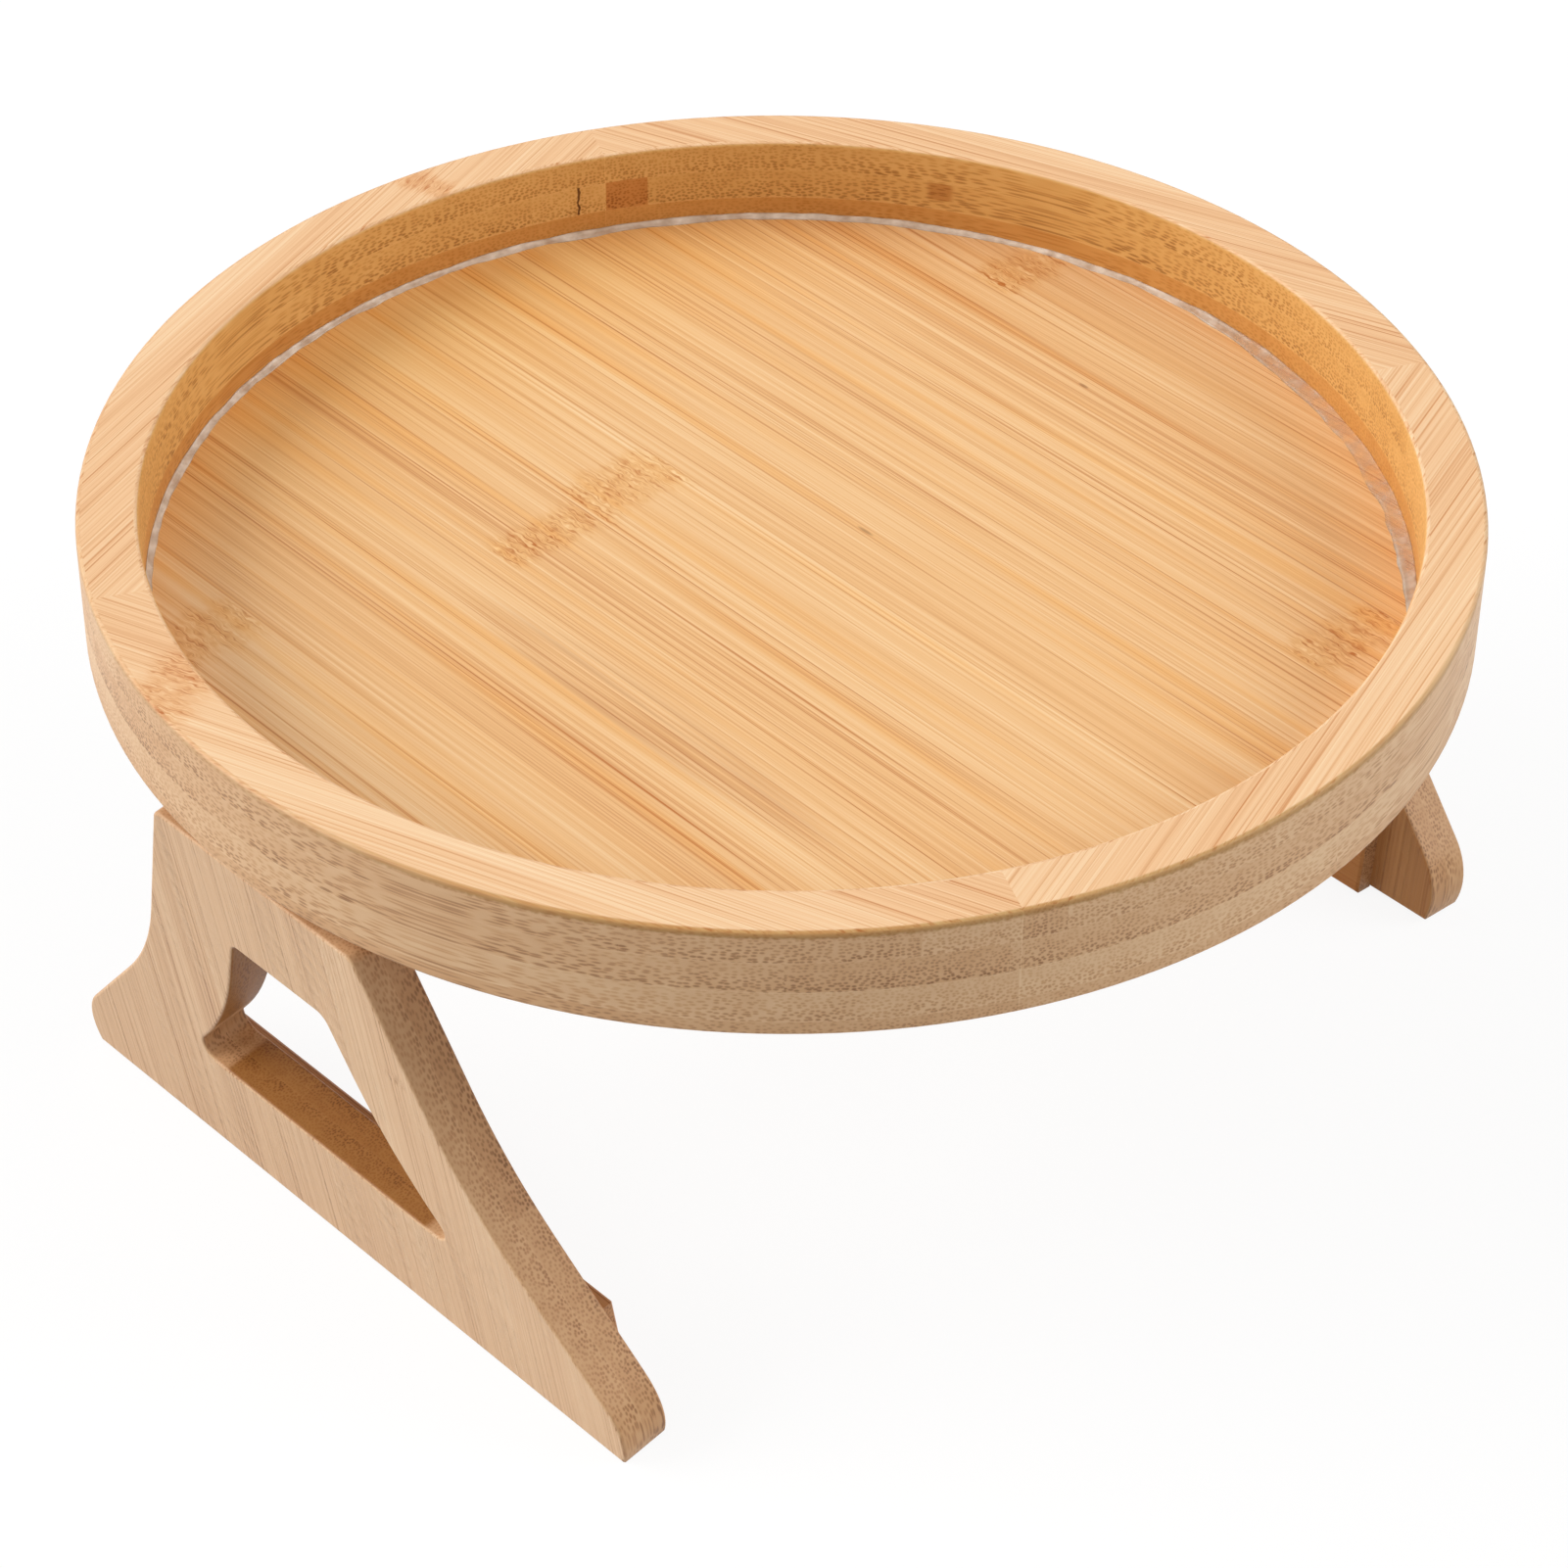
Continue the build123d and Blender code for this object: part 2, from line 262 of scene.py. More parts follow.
band_size = (260.0, 6.0, 6.0)
streak_size = (140.0, 1.4, 1.4)
thread_size = (70.0, 0.4, 0.4)
crowd_size = (300.0, 7.0, 7.0)
crowd_limits = (-0.9, 0.7, 0.3, 1.0)
hair_size = (90.0, 0.38, 0.38)
hair_limits = (0.15, 0.85)
vein_size = (130.0, 0.46, 0.46)
vein_limits = (0.1, 0.75)

knot_outline_size = (7.0, 3.4, 3.4)
knot_raggedness = 0.3
knot_limits = (1.35, 0.35)
knot_side_softness = 0.5
knot_sway_size = (2.4, 1.1, 1.1)
knot_sway = 0.45
knot_darkness = -0.08
fleck_size = (3.2, 0.34, 0.34)
fleck_contrast = 0.34

cut_wander_size = (9.0, 2.5, 2.5)
cut_patch_size = (14.0, 3.0, 3.0)
cut_patch_limits = (-0.8, 0.8, 0.7, 1.1)

# Bundles of fibres in the cut: a size across the grain and into the board, with a third number unused
bundle_size = (0.56, 0.64, 1.0)
bundle_shift = 90.0
bundle_disorder = 0.8
bundle_limits = (0.46, 0.1)
bundle_widening = -0.1
bundle_darkness = -0.19
bundle_darkening = -0.26

fibre_relief = 0.04
varnish_roughness = 0.46
thread_roughness = 0.04
varnish_gloss = 0.28


def turned(angle):
    """Direction at an angle from X, seen from above."""
    return Vector((math.cos(math.radians(angle)), math.sin(math.radians(angle)), 0))


class Board:
    """Laminated bamboo: plies of strips side by side, with fibres along the grain."""

    def __init__(self, name, origin, grain, face, strip_width, ply_height, plies, seed):
        """The plies, counted down from the face at the origin, have a first strip's place and a tone."""
        self.recipe = recipe = Recipe(name)
        self.grain = grain
        self.sideways = face.cross(grain)
        spot = recipe.vector("SUBTRACT", recipe.place, origin)
        self.along = recipe.dot(spot, grain)
        self.across = recipe.dot(spot, self.sideways)
        self.depth = recipe.dot(spot, face)
        ply_place = recipe.calc("DIVIDE", self.depth, -ply_height)
        ply = recipe.calc("FLOOR", ply_place)
        self.ply_share = recipe.calc("FRACT", ply_place)
        chosen = [recipe.near(ply, number, ply_reach, ply_softness) for number in range(len(plies))]
        start = recipe.total(*[(mask, place) for mask, (place, tone) in zip(chosen, plies)])
        self.ply_tone = recipe.total(*[(mask, tone) for mask, (place, tone) in zip(chosen, plies)])
        strips = recipe.calc("DIVIDE", recipe.calc("SUBTRACT", self.across, start), strip_width)
        self.seam = self.line(recipe.calc("FRACT", strips), seam_half_width / strip_width)
        self.glue_line = self.line(self.ply_share, glue_line_half_width / ply_height)
        self.luck = recipe.calc("SUBTRACT", recipe.chance(recipe.calc("FLOOR", strips), ply, seed), 0.5)
        shifted = recipe.total(self.along, (self.luck, strip_shift))
        self.spot = recipe.joined(shifted, self.across, self.depth)
        self.facing = recipe.dot(recipe.normal, face)
        self.edge = recipe.step(recipe.calc("ABSOLUTE", self.facing), *edge_limits)
        self.knots = 0.0
        self.end_joint = 0.0

    def line(self, share, half_width):
        """Mask of a thin line where a share starts again from 0."""
        middle = self.recipe.calc("ABSOLUTE", self.recipe.calc("SUBTRACT", share, 0.5))
        return self.recipe.step(middle, 0.5 - 2 * half_width, 0.5 - half_width)

    def add_knot(self, place, length, width):
        """Node of the cane at a place in millimetres, given along and across the grain."""
        recipe = self.recipe
        ragged = recipe.swing(self.spot, knot_outline_size, 2.0)
        away = recipe.calc("ABSOLUTE", recipe.calc("SUBTRACT", self.along, place[0]))
        far = recipe.total((away, 2 / length), (ragged, knot_raggedness))
        inside = recipe.step(far, *knot_limits)
        half_width = width / 2 - knot_side_softness
        inside = recipe.both(inside, recipe.near(self.across, place[1], half_width, knot_side_softness))
        self.knots = recipe.calc("MAXIMUM", self.knots, inside)

    def upper_knots(self):
        """Mask of the cane's nodes, on faces that look the same way as the board's face."""
        return self.recipe.both(self.knots, self.recipe.step(self.facing, *upper_limits))

    def from_above(self, angle, radius):
        """Place along and across the grain of a point on the rim."""
        point = turned(angle) * radius
        return point.dot(self.grain), point.dot(self.sideways)

    def smudge(self, place, length, width):
        """Mask of a soft oval spot."""
        recipe = self.recipe
        far = recipe.calc("DIVIDE", recipe.calc("SUBTRACT", self.along, place[0]), length / 2)
        wide = recipe.calc("DIVIDE", recipe.calc("SUBTRACT", self.across, place[1]), width / 2)
        squares = recipe.total(recipe.calc("MULTIPLY", far, far), recipe.calc("MULTIPLY", wide, wide))
        return recipe.step(squares, 0.0, 1.0, 1.0, 0.0)

    def face_tone(self):
        """Fibres that lie in the face, which sway and break into flecks at the nodes of the cane."""
        recipe = self.recipe
        sway = recipe.swing(self.spot, knot_sway_size)
        shift = recipe.calc("MULTIPLY", recipe.calc("MULTIPLY", sway, self.knots), knot_sway)
        bent = recipe.vector("ADD", self.spot, recipe.joined(0.0, shift, 0.0))
        bands = recipe.swing(self.spot, band_size)
        streaks = recipe.swing(bent, streak_size)
        self.threads = recipe.swing(bent, thread_size, 2.0)
        crowd = recipe.patches(self.spot, crowd_size, crowd_limits)
        hairs = recipe.patches(bent, hair_size, hair_limits)
        veins = recipe.patches(bent, vein_size, vein_limits)
        tangle = recipe.total((recipe.swing(bent, fleck_size), fleck_contrast), (knot_darkness, 1.0))
        return recipe.total(
            (bands, 0.08),
            (streaks, 0.08),
            (self.threads, 0.15),
            (hairs, 0.18),
            (recipe.calc("MULTIPLY", veins, crowd), -0.38),
            (self.luck, 0.16),
            (self.seam, -0.12),
            (recipe.calc("MULTIPLY", self.knots, tangle), 1.0),
            (0.55, 1.0),
        )

    def cut_tone(self):
        """Fibres that are cut across: dots, darker and wider towards the lower side of each ply."""
        recipe = self.recipe
        wander = recipe.swing(self.spot, cut_wander_size)
        shifted = recipe.total(self.across, (self.luck, bundle_shift))
        cells = recipe.vector("DIVIDE", recipe.joined(shifted, self.depth, 0.0), bundle_size)
        inputs = {"Vector": cells, "Scale": 1.0, "Randomness": bundle_disorder}
        gap = recipe.node("ShaderNodeTexVoronoi", inputs, out="Distance", voronoi_dimensions="2D")
        dots = recipe.step(recipe.total(gap, (self.ply_share, bundle_widening)), *bundle_limits)
        patchy = recipe.patches(self.spot, cut_patch_size, cut_patch_limits)
        darkness = recipe.total((self.ply_share, bundle_darkening), (bundle_darkness, 1.0))
        strength = recipe.calc("MULTIPLY", patchy, darkness)
        return recipe.total(
            recipe.calc("MULTIPLY", dots, strength),
            (wander, 0.07),
            (self.luck, 0.16),
            (self.glue_line, 0.08),
            (self.end_joint, 0.2),
            self.ply_tone,
            (0.68, 1.0),
        )

    def finish(self, face, cuts, tints=(), contrast=1.0):
        """Colours faces from dark to light, and cut edges where their masks say."""
        recipe = self.recipe
        tone = recipe.total((self.face_tone(), contrast), (0.5 * (1 - contrast), 1.0))
        cut = self.cut_tone()
        shade = recipe.ramp(tone, face)
        for mask, cut_shades in cuts:
            shade = recipe.blend(mask, shade, recipe.ramp(cut, cut_shades))
        for mask, tint in tints:
            shade = recipe.blend(mask, shade, tint, "MULTIPLY")
        roughness = recipe.total((self.threads, thread_roughness), (varnish_roughness, 1.0))
        height = recipe.between(self.edge, tone, cut)
        return recipe.finish(shade, roughness, height, fibre_relief, Specular_IOR_Level=varnish_gloss)


# Floor: the direction of its grain, and places along and across the grain

floor_grain = 88.9
floor_strip_width = 21.5
floor_first_strip = 17.9
floor_seed = 4.0

# The one ply starts a little above the floor's face, so the whole floor lies in it
floor_ply_start = 1.0

# Nodes of the cane in the floor: place and length, each as wide as a strip
floor_knot_width = 21.0
floor_knots = [
    ((32.5, 28.5), 11.0),
    ((35.0, 7.0), 14.0),
    ((50.0, 93.0), 15.0),
    ((-85.0, -57.5), 13.0),
    ((39.0, -100.5), 12.0),
]

# Stain and specks: place, length and width
floor_stain = ((-20.0, 50.0), 110.0, 15.0)
floor_specks = [((-5.0, -16.0), 5.0, 0.9), ((2.0, -79.0), 3.0, 1.0)]

smoke_size = (60.0, 1.2, 1.2)
smoke_limits = (-0.9, 0.7)
# Painted warm shade near the wall at the far end along the grain: its limits along the grain, and how much
# noise bends its edge
wall_shade_limits = (40.0, 122.0)
wall_shade_waviness = 3.0
golden_size = (200.0, 4.0, 4.0)
golden_limits = (0.0, 0.9)


def floor_bamboo():
    """One ply of wide strips with a few nodes, a stain, two specks and painted warm shade near the wall."""
    origin = (0, 0, floor_top + floor_ply_start)
    plies = [(floor_first_strip, 0.0)]
    grain = turned(floor_grain)
    board = Board("floor_bamboo", origin, grain, up, floor_strip_width, single_ply, plies, floor_seed)
    for place, length in floor_knots:
        board.add_knot(place, length, floor_knot_width)
    recipe = board.recipe
    board.knots = board.upper_knots()
    smoke = recipe.swing(board.spot, smoke_size, 2.0)
    stain = recipe.both(board.smudge(*floor_stain), recipe.step(smoke, *smoke_limits))
    # Painted shade: the floor near the wall at the far end along the grain is tinted warmer
    wall_shade = recipe.step(recipe.total(board.along, (smoke, wall_shade_waviness)), *wall_shade_limits)
    specks = recipe.calc("MAXIMUM", *[board.smudge(*speck) for speck in floor_specks])
    golden = recipe.patches(board.spot, golden_size, golden_limits)
    tints = [
        (stain, colour(226, 208, 194)),
        (wall_shade, colour(255, 240, 200)),
        (specks, colour(205, 196, 190)),
        (golden, colour(254, 243, 222)),
        (board.knots, colour(252, 245, 231)),
    ]
    return board.finish(honey, [(board.edge, honey_cut)], tints)


# Rim: its strips and plies, with the first strip's place in each ply of each segment

rim_strip_width = 21.3
rim_ply_height = 6.2
rim_ply_tones = [0.02, -0.05, 0.13, -0.06]
rim_ply_starts = {
    1: [97.0, 112.0, 104.0, 99.0],
    2: [120.6, 111.0, 104.0, 98.0],
    3: [115.0, 109.3, 99.4, 109.3],
    4: [97.0, 107.9, 101.0, 92.0],
}
rim_seeds = {1: 11.0, 2: 12.0, 3: 13.0, 4: 14.0}

# Nodes of the cane in the rim's top: angle, radius, length and width
rim_knots = {1: [(82.0, 120.0, 7.0, 12.0)], 2: [(168.0, 118.5, 13.0, 20.0)]}

joint_half_width = 0.04
joint_softness = 0.1
inner_wall_limits = (rim_radius - 6.0, rim_radius - 8.0)
low_ply_limits = (0.1 - 2 * rim_ply_height, -0.2 - 2 * rim_ply_height)

# Golden top edge: distances from the axis, and the angle towards which it is strongest
golden_edge_wobble_size = (1.1, 1.1, 1.1)
golden_edge_waviness = 0.3
golden_edge_top_limits = (rim_radius - 1.0, rim_radius - 0.5)
golden_edge_place_limits = (rim_radius - 1.6, rim_radius - 0.8)
golden_edge_angle = 240.0
golden_edge_side_limits = (55.0, 112.0, 0.25, 1.0)


def rim_bamboo(number):
    """Three plies and a thinner fourth, with painted shade, darker and more orange, on the inner wall."""
    middle = mitre_angle + mitre_turn * (number - 0.5)
    board = Board(
        "rim_bamboo_" + str(number),
        (0, 0, rim_top),
        turned(middle - 90.0),
        up,
        rim_strip_width,
        rim_ply_height,
        list(zip(rim_ply_starts[number], rim_ply_tones)),
        rim_seeds[number],
    )
    recipe = board.recipe
    for angle, radius, length, width in rim_knots.get(number, []):
        board.add_knot(board.from_above(angle, radius), length, width)
    radius = recipe.length(recipe.vector("MULTIPLY", recipe.place, (1, 1, 0)))
    inner = recipe.both(board.edge, recipe.step(radius, *inner_wall_limits))
    joints = []
    for turn in (0, mitre_turn):
        beside = recipe.dot(recipe.place, turned(mitre_angle + turn))
        joints.append(recipe.near(beside, 0.0, joint_half_width, joint_softness))
    board.end_joint = recipe.calc("MAXIMUM", *joints)
    low_ply = recipe.both(inner, recipe.step(board.depth, *low_ply_limits))
    tints = [
        (golden_top_edge(board, radius), colour(214, 200, 166)),
        (low_ply, colour(230, 208, 182)),
        (board.upper_knots(), colour(248, 236, 222)),
    ]
    if number in inner_marks:
        tints += inner_marks[number](board, inner)
    # The inner wall's cut faces get the darker colour of painted shade
    return board.finish(pale_honey, [(board.edge, honey_cut), (inner, shaded_inner_cut)], tints)


def golden_top_edge(board, radius):
    """Mask of the rim's outer top edge, which is tinted golden, most of all on one side."""
    recipe = board.recipe
    edge_wobble = recipe.swing(recipe.place, golden_edge_wobble_size)
    edge_place = recipe.total(radius, board.depth, (edge_wobble, golden_edge_waviness))
    golden_band = recipe.both(recipe.step(radius, *golden_edge_top_limits), recipe.step(edge_place, *golden_edge_place_limits))
    side = recipe.dot(recipe.place, turned(golden_edge_angle))
    return recipe.both(golden_band, recipe.step(side, *golden_edge_side_limits))


# Marks on the inner wall: angles, and depths below the rim's top

crack_angle = 67.3
crack_depth = 9.3
crack_half_height = 3.0
crack_half_width = 0.12
crack_side_softness = 0.22
crack_end_softness = 0.2
crack_bend_size = (3.0, 3.0, 2.0)
crack_bend = 0.35
patch_end_softness = 0.15

# Patches: angle, half width, softness, and depths of their upper and lower ends
strip_block = (62.3, 4.2, 0.1, rim_ply_height, 2 * rim_ply_height)
brown_node = (30.8, 1.6, 1.6, 6.6, 10.2)


def beside_angle(recipe, angle):
    """How far a place is to the side of an angle, round the wall."""
    return recipe.dot(recipe.place, turned(angle + 90.0))


def on_wall(board, inner, angle, half_width, softness, upper_end, lower_end):
    """Mask of an upright patch on the inner wall."""
    recipe = board.recipe
    beside = recipe.near(beside_angle(recipe, angle), 0.0, half_width, softness)
    middle = -(upper_end + lower_end) / 2
    level = recipe.near(board.depth, middle, (lower_end - upper_end) / 2, patch_end_softness)
    return recipe.both(inner, recipe.both(beside, level))


def crack_marks(board, inner):
    """A drying crack beside the mitre."""
    recipe = board.recipe
    bend = recipe.swing(recipe.place, crack_bend_size, 2.0)
    place = recipe.total(beside_angle(recipe, crack_angle), (bend, crack_bend))
    line = recipe.near(place, 0.0, crack_half_width, crack_side_softness)
    level = recipe.near(board.depth, -crack_depth, crack_half_height, crack_end_softness)
    crack = recipe.both(inner, recipe.both(line, level))
    return [(crack, colour(120, 96, 76))]


def block_marks(board, inner):
    """The reddish end of a strip beside the mitre, and a small brown node further on."""
    block = on_wall(board, inner, *strip_block)
    node = on_wall(board, inner, *brown_node)
    return [(block, colour(232, 204, 184)), (node, colour(226, 206, 190))]


inner_marks = {1: crack_marks, 4: block_marks}


# Legs, laths and rails, with places in millimetres from the hinge pin

leg_strip_width = 20.5
leg_ply_height = 5.0
leg_plies = [(3.0, 0.03), (12.0, -0.05)]
leg_seed = 20.0
leg_knot_places = {"right": (-18.0, 31.0), "left": (-18.0, -31.0)}
leg_knot_length = 3.0
leg_knot_width = 6.0
hole_half_width = 27.0
hole_middle = -39.0
hole_half_height = 24.0
hole_softness = 2.0
leg_back_limits = (-0.5, -0.9)
leg_contrast = 1.1
lath_strip_width = 10.3
lath_seed = 31.0
lath_shade_limits = (0.5, -0.5)
rail_strip_width = 8.5
rail_seed = 41.0
strip_contrast = 0.8


def leg_frame(side):
    """Directions up and outwards of a leg, and its hinge pin, in millimetres."""
    sign = 1 if side == "right" else -1
    tuck = math.radians(tucks[side])
    joint = next(joint for joint in frame["joints"] if joint["name"] == side + "_leg_hinge")
    pin = Vector(joint["pos_m"]) / mm
    upward = Vector((sign * math.sin(tuck), 0, math.cos(tuck)))
    outward = Vector((sign * math.cos(tuck), 0, -math.sin(tuck)))
    return upward, outward, pin


def leg_bamboo(side):
    """Two plies, with fibres up the leg, and painted shade inside the hole and on the face turned to the
    sofa.
    """
    upward, outward, pin = leg_frame(side)
    board = Board(
        "leg_bamboo_" + side,
        pin + outward * leg_outer_face,
        upward,
        outward,
        leg_strip_width,
        leg_ply_height,
        leg_plies,
        leg_seed,
    )
    board.add_knot(leg_knot_places[side], leg_knot_length, leg_knot_width)
    recipe = board.recipe
    # Painted shade: the cut walls inside the hole are darker
    level = recipe.near(board.along, hole_middle, hole_half_height, hole_softness)
    within = recipe.both(recipe.near(board.across, 0.0, hole_half_width, hole_softness), level)
    hole = recipe.both(board.edge, within)
    # Painted shade: the face turned to the sofa, under the tray, is darker
    inner = recipe.step(board.facing, *leg_back_limits)
    tints = [(hole, colour(202, 176, 130)), (inner, colour(224, 196, 158))]
    return board.finish(peach, [(board.edge, peach_cut)], tints, leg_contrast)


def lath_bamboo(side):
    """One strip's depth, with fibres along the foot, darker on the face turned to the sofa."""
    upward, outward, pin = leg_frame(side)
    name = "strip_bamboo_" + side
    board = Board(name, pin, along_hinges, outward, lath_strip_width, single_ply, [(0.0, 0.0)], lath_seed)
    shaded = board.recipe.step(board.facing, *lath_shade_limits)
    tints = [(shaded, colour(206, 172, 130))]
    return board.finish(honey, [(board.edge, honey_cut)], tints, strip_contrast)


def rail_bamboo():
    origin = (0, 0, floor_top)
    plies = [(0.0, 0.0)]
    board = Board("rail_bamboo", origin, along_hinges, up, rail_strip_width, single_ply, plies, rail_seed)
    return board.finish(honey, [(board.edge, honey_cut)], contrast=strip_contrast)


# Metal, nylon and glue, in millimetres along X, Y and Z

rolling_size = (0.25, 9.0, 0.25)
spot_size = (1.4, 1.4, 1.4)
nylon_cloud_size = (0.8, 0.8, 0.8)
metal_relief = 0.01
dull_share = 0.82
glue_cloud_size = (3.6, 3.6, 1.5)
glue_ripple_size = (1.6, 1.6, 0.8)
glue_relief = 0.05

# How much the glue hides of what is under it, from 0 to 1, and what its clouds and its smear add
glue_cover = 0.66
cloud_cover = 0.16
smear_cover = -0.5
smear_fade = 3.0

# Where the glue is smeared wide and thin over the floor, and how far to each side, in degrees
smear_angle = -25.0
smear_reach = 30.0


def steel(name, shade, roughness):
    """Plated steel with faint rolling marks and spots."""
    recipe = Recipe(name)
    marks = recipe.swing(recipe.place, rolling_size, 2.0)
    spots = recipe.swing(recipe.place, spot_size, 3.0)
    dull = [dull_share * part for part in shade]
    base = recipe.ramp(recipe.total((marks, 0.2), (spots, 0.15), (0.5, 1.0)), shades(dull, shade))
    rough = recipe.total((marks, 0.05), (spots, 0.05), (roughness, 1.0))
    return recipe.finish(base, rough, marks, metal_relief, Metallic=1.0)


def nylon():
    recipe = Recipe("bush_nylon")
    cloud = recipe.swing(recipe.place, nylon_cloud_size, 2.0)
    tones = shades((214, 210, 198), (232, 229, 220))
    base = recipe.ramp(recipe.total((cloud, 0.4), (0.5, 1.0)), tones)
    rough = recipe.total((cloud, 0.05), (0.5, 1.0))
    return recipe.finish(base, rough, cloud, metal_relief, Subsurface_Weight=0.1)


def dried_glue():
    """Milky glue that the bamboo shows through, most of all where it is smeared."""
    recipe = Recipe("dried_glue")
    cloud = recipe.swing(recipe.place, glue_cloud_size, 2.0)
    ripples = recipe.swing(recipe.place, glue_ripple_size)
    tones = shades((224, 192, 160), (250, 236, 218))
    base = recipe.ramp(recipe.total((cloud, 0.4), (0.5, 1.0)), tones)
    level = recipe.dot(recipe.place, turned(smear_angle))
    smear_start = bead_radius * math.cos(math.radians(smear_reach)) - smear_fade
    thin = recipe.step(level, smear_start, bead_radius)
    alpha = recipe.total((cloud, cloud_cover), (thin, smear_cover), (glue_cover, 1.0))
    rough = recipe.total((ripples, 0.05), (0.3, 1.0))
    return recipe.finish(base, rough, ripples, glue_relief, Alpha=alpha)


# Pieces that only the scene has


def mesh_from(name, shape):
    """Mesh of a shape that is built, in metres."""
    mesh = bpy.data.meshes.new(name)
    shape.to_mesh(mesh)
    shape.free()
    return mesh


def mesh_object(name, mesh, material, smooth=True):
    for polygon in mesh.polygons:
        polygon.use_smooth = smooth
    mesh.materials.append(material)
    made = bpy.data.objects.new(name, mesh)
    bpy.context.scene.collection.objects.link(made)
    return made


# Bead of glue, in millimetres: its section, and the waves on each measure by height, size and seed

bead_width = 1.2
bead_width_waves = [(0.35, 11.0, 1.0), (0.14, 4.0, 2.0)]
bead_height = 0.85
bead_height_waves = [(0.22, 9.0, 3.0), (0.06, 3.5, 4.0)]
bead_belly = 0.36
bead_belly_waves = [(0.1, 7.0, 5.0)]
smear_width = 2.4
smear_drop = 0.4
smear_hollow = 0.2
bead_steps_round = 900
bead_steps_over = 6


def ripple(angle, size, seed):
    """Smooth noise round the ring, from about -1 to 1, with bumps of a size in millimetres."""
    distance = bead_radius / size
    return 2 * noise.noise(Vector((distance * math.cos(angle), distance * math.sin(angle), seed)))


def wavy(angle, measure, waves):
    """A measure of the bead's section with the waves that it has at an angle."""
    for height, size, seed in waves:
        measure += height * ripple(angle, size, seed)
    return measure


def bead_section(angle):
    """Points of the bead's open face at an angle, as distance from the wall and height."""
    away = math.remainder(angle - math.radians(smear_angle), math.tau) / math.radians(smear_reach)
    smear = max(0.0, 1 - away * away)
    width = wavy(angle, bead_width, bead_width_waves) + smear_width * smear
    height = wavy(angle, bead_height, bead_height_waves) - smear_drop * smear
    belly = wavy(angle, bead_belly, bead_belly_waves) - smear_hollow * smear
    points = []
    for step in range(bead_steps_over + 1):
        share = step / bead_steps_over
        pull = 2 * share * (1 - share) * belly
        points.append((width * (share * share + pull), height * ((1 - share) ** 2 + pull)))
    return points


def glue_bead():
    """Wavy ring of glue in the corner between the floor and the inner wall."""
    shape = bmesh.new()
    rings = []
    for step in range(bead_steps_round):
        angle = math.tau * step / bead_steps_round
        ring = [(0.0, 0.0)] + bead_section(angle)
        outward = Vector((math.cos(angle), math.sin(angle), 0))
        points = [outward * (bead_radius - away) + up * (floor_top + height) for away, height in ring]
        rings.append([shape.verts.new(point * mm) for point in points])
    for here, there in zip(rings, rings[1:] + rings[:1]):
        for low, high in zip(range(len(here)), list(range(1, len(here))) + [0]):
            shape.faces.new((here[low], there[low], there[high], here[high]))
    bmesh.ops.recalc_face_normals(shape, faces=shape.faces)
    mesh = mesh_from("glue_bead_dried", shape)
    bead = mesh_object("glue_bead_dried", mesh, dried_glue())
    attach(bead, "tray")
    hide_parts("glue_bead")


# Screws: lengths in millimetres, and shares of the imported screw's sizes, the pitch or the recess

screw_sides = 16
head_rim_height = 0.12
head_height_share = 0.9
shank_start_share = 0.3
tip_start_share = 0.75
neck_height = 0.4
tip_length = 0.1
thread_pitch = 1.1
thread_steps = 8
thread_root_share = 0.76
thread_ridge_share = 0.22
recess_depth = 0.75
recess_half_width = 0.24
recess_half_length = 1.15
pit_length_share = 0.45
pit_width_share = 0.8

# Radians that a screw is turned for each millimetre of its place across, so the crosses differ
spin_rate = 1.7

# Points nearer to each other than this are one
same_place = 0.002


def separate_shapes(node):
    """Points of each separate solid of a node, in millimetres."""
    packed = frame["nodes"][node]
    shape = bmesh.new()
    shape.from_mesh(packed.data)
    shape.transform(packed.matrix_world)
    bmesh.ops.remove_doubles(shape, verts=shape.verts, dist=same_place * mm)
    left = set(shape.verts)
    found = []
    while left:
        ready = [left.pop()]
        points = []
        while ready:
            point = ready.pop()
            points.append(point.co / mm)
            for edge in point.link_edges:
                other = edge.other_vert(point)
                if other in left:
                    left.remove(other)
                    ready.append(other)
        found.append(points)
    shape.free()
    return found


def span(points, direction):
    """Lowest and highest level of the points along a direction."""
    levels = [point.dot(direction) for point in points]
    return min(levels), max(levels)


def thread_radius(level, share_round, crest, tip_start, length):
    """Distance from the axis of a wood screw's shank at a level below its head."""
    phase = (level / thread_pitch - share_round) % 1.0
    ridge = max(0.0, 1 - abs(phase - 0.5) / thread_ridge_share)
    taper = min(1.0, (length - level) / (length - tip_start))
    return taper * crest * (thread_root_share + (1 - thread_root_share) * ridge)


def cross_outline(half_length, half_width, level):
    """Twelve corners of a cross, in order round it."""
    corners = [(half_length, -half_width), (half_length, half_width), (half_width, half_width)]
    points = []
    for quarter in range(4):
        turn = Matrix.Rotation(quarter * math.tau / 4, 3, "Z")
        points += [turn @ Vector((x, y, level)) for x, y in corners]
    return points


def join_rings(shape, rings):
    for here, there in zip(rings, rings[1:]):
        for first in range(len(here)):
            second = (first + 1) % len(here)
            shape.faces.new((here[first], here[second], there[second], there[first]))


